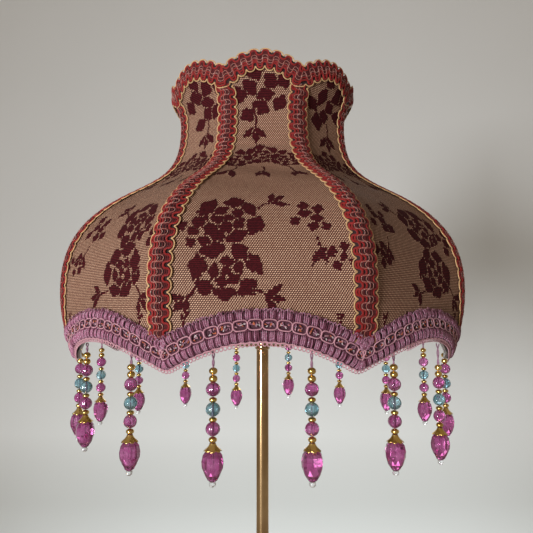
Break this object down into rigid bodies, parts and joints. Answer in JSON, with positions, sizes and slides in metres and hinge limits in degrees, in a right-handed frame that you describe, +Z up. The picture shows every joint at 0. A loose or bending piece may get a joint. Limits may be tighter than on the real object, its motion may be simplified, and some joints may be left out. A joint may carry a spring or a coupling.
{
  "type": "beaded fabric bell-shade table lamp",
  "caption": "Table lamp with a slim brass stem on a round weighted foot, a paneled fabric bell shade on a wire frame, braided ribs, and a swinging bead fringe.",
  "frame": {"origin": "centre of the foot's underside, on the table", "axes": "+Z up the stem; -Y is the front of the shade, with a panel's middle and the switch knob facing it"},
  "size_m": [0.2964, 0.2964, 0.4803],
  "materials": {
    "brass": "polished, light wear",
    "steel": "plain wire and strip",
    "cast_iron": "black, as cast",
    "aluminium": "bright, pressed",
    "felt": "dark green felt",
    "rubber": "black, matt",
    "cable": "gold-brown insulated flex",
    "phenolic": "dark brown moulding",
    "card": "pressed fibre card",
    "glass": "frosted bulb glass",
    "lace": "burgundy lace net over tan satin",
    "lining": "cream cotton lining",
    "red_braid": "woven braid, red, burgundy and gold",
    "mauve_gimp": "looped mauve gimp",
    "beads": "magenta and teal glass with gilt spacers"
  },
  "bodies": {
    "stand": {"felt_pad": "felt", "base_shell": "brass", "base_weight": "cast_iron", "base_locknut": "steel", "cord_grommet": "rubber", "base_collar": "brass", "stem_tube": "brass", "internal_lead": "cable", "harp_saddle": "brass", "socket_cap": "brass", "socket_shell": "brass", "socket_liner": "card", "socket_body": "phenolic", "screw_shell": "aluminium", "terminal_screw_neutral": "steel", "terminal_screw_live": "brass", "bulb_cap": "aluminium", "bulb_glass": "glass", "harp": "brass"},
    "shade": {"wire_frame": "steel", "spider_fitter": "steel", "panel_1": "lace", "panel_2": "lace", "panel_3": "lace", "panel_4": "lace", "panel_5": "lace", "panel_6": "lace", "panel_7": "lace", "panel_8": "lace", "lining": "lining", "rib_braid_1": "red_braid", "rib_braid_2": "red_braid", "rib_braid_3": "red_braid", "rib_braid_4": "red_braid", "rib_braid_5": "red_braid", "rib_braid_6": "red_braid", "rib_braid_7": "red_braid", "rib_braid_8": "red_braid", "crown_braid": "red_braid", "hem_gimp": "mauve_gimp"},
    "finial": {"finial": "brass"},
    "switch_knob": {"switch_knob": "phenolic"},
    "harp_sleeve_left": {"harp_sleeve_left": "brass"},
    "harp_sleeve_right": {"harp_sleeve_right": "brass"},
    "bead_drop_01": {"bead_drop_01": "beads"},
    "bead_drop_02": {"bead_drop_02": "beads"},
    "bead_drop_03": {"bead_drop_03": "beads"},
    "bead_drop_04": {"bead_drop_04": "beads"},
    "bead_drop_05": {"bead_drop_05": "beads"},
    "bead_drop_06": {"bead_drop_06": "beads"},
    "bead_drop_07": {"bead_drop_07": "beads"},
    "bead_drop_08": {"bead_drop_08": "beads"},
    "bead_drop_09": {"bead_drop_09": "beads"},
    "bead_drop_10": {"bead_drop_10": "beads"},
    "bead_drop_11": {"bead_drop_11": "beads"},
    "bead_drop_12": {"bead_drop_12": "beads"},
    "bead_drop_13": {"bead_drop_13": "beads"},
    "bead_drop_14": {"bead_drop_14": "beads"},
    "bead_drop_15": {"bead_drop_15": "beads"},
    "bead_drop_16": {"bead_drop_16": "beads"}
  },
  "joints": [
    {"name": "shade_swivel", "type": "hinge", "parent": "stand", "child": "shade", "pos_m": [0, 0, 0.4463], "axis": [0, 0, 1], "continuous": true},
    {"name": "finial_turn", "type": "hinge", "parent": "stand", "child": "finial", "pos_m": [0, 0, 0.4488], "axis": [0, 0, 1], "continuous": true},
    {"name": "switch_knob_turn", "type": "hinge", "parent": "stand", "child": "switch_knob", "pos_m": [0, 0, 0.303], "axis": [0, -1, 0], "continuous": true},
    {"name": "harp_sleeve_left_lift", "type": "slide", "parent": "stand", "child": "harp_sleeve_left", "axis": [0, 0, 1], "range_m": [0, 0.009]},
    {"name": "harp_sleeve_right_lift", "type": "slide", "parent": "stand", "child": "harp_sleeve_right", "axis": [0, 0, 1], "range_m": [0, 0.009]},
    {"name": "bead_drop_01_swing", "type": "hinge", "parent": "shade", "child": "bead_drop_01", "pos_m": [0.02684, -0.13496, 0.2772], "axis": [0.9808, 0.1951, 0], "range_deg": [-22, 22]},
    {"name": "bead_drop_02_swing", "type": "hinge", "parent": "shade", "child": "bead_drop_02", "pos_m": [0.07645, -0.11441, 0.2772], "axis": [0.8315, 0.5556, 0], "range_deg": [-22, 22]},
    {"name": "bead_drop_03_swing", "type": "hinge", "parent": "shade", "child": "bead_drop_03", "pos_m": [0.11441, -0.07645, 0.2772], "axis": [0.5556, 0.8315, 0], "range_deg": [-22, 22]},
    {"name": "bead_drop_04_swing", "type": "hinge", "parent": "shade", "child": "bead_drop_04", "pos_m": [0.13496, -0.02684, 0.2772], "axis": [0.1951, 0.9808, 0], "range_deg": [-22, 22]},
    {"name": "bead_drop_05_swing", "type": "hinge", "parent": "shade", "child": "bead_drop_05", "pos_m": [0.13496, 0.02684, 0.2772], "axis": [-0.1951, 0.9808, 0], "range_deg": [-22, 22]},
    {"name": "bead_drop_06_swing", "type": "hinge", "parent": "shade", "child": "bead_drop_06", "pos_m": [0.11441, 0.07645, 0.2772], "axis": [-0.5556, 0.8315, 0], "range_deg": [-22, 22]},
    {"name": "bead_drop_07_swing", "type": "hinge", "parent": "shade", "child": "bead_drop_07", "pos_m": [0.07645, 0.11441, 0.2772], "axis": [-0.8315, 0.5556, 0], "range_deg": [-22, 22]},
    {"name": "bead_drop_08_swing", "type": "hinge", "parent": "shade", "child": "bead_drop_08", "pos_m": [0.02684, 0.13496, 0.2772], "axis": [-0.9808, 0.1951, 0], "range_deg": [-22, 22]},
    {"name": "bead_drop_09_swing", "type": "hinge", "parent": "shade", "child": "bead_drop_09", "pos_m": [-0.02684, 0.13496, 0.2772], "axis": [-0.9808, -0.1951, 0], "range_deg": [-22, 22]},
    {"name": "bead_drop_10_swing", "type": "hinge", "parent": "shade", "child": "bead_drop_10", "pos_m": [-0.07645, 0.11441, 0.2772], "axis": [-0.8315, -0.5556, 0], "range_deg": [-22, 22]},
    {"name": "bead_drop_11_swing", "type": "hinge", "parent": "shade", "child": "bead_drop_11", "pos_m": [-0.11441, 0.07645, 0.2772], "axis": [-0.5556, -0.8315, 0], "range_deg": [-22, 22]},
    {"name": "bead_drop_12_swing", "type": "hinge", "parent": "shade", "child": "bead_drop_12", "pos_m": [-0.13496, 0.02684, 0.2772], "axis": [-0.1951, -0.9808, 0], "range_deg": [-22, 22]},
    {"name": "bead_drop_13_swing", "type": "hinge", "parent": "shade", "child": "bead_drop_13", "pos_m": [-0.13496, -0.02684, 0.2772], "axis": [0.1951, -0.9808, 0], "range_deg": [-22, 22]},
    {"name": "bead_drop_14_swing", "type": "hinge", "parent": "shade", "child": "bead_drop_14", "pos_m": [-0.11441, -0.07645, 0.2772], "axis": [0.5556, -0.8315, 0], "range_deg": [-22, 22]},
    {"name": "bead_drop_15_swing", "type": "hinge", "parent": "shade", "child": "bead_drop_15", "pos_m": [-0.07645, -0.11441, 0.2772], "axis": [0.8315, -0.5556, 0], "range_deg": [-22, 22]},
    {"name": "bead_drop_16_swing", "type": "hinge", "parent": "shade", "child": "bead_drop_16", "pos_m": [-0.02684, -0.13496, 0.2772], "axis": [0.9808, -0.1951, 0], "range_deg": [-22, 22]}
  ]
}
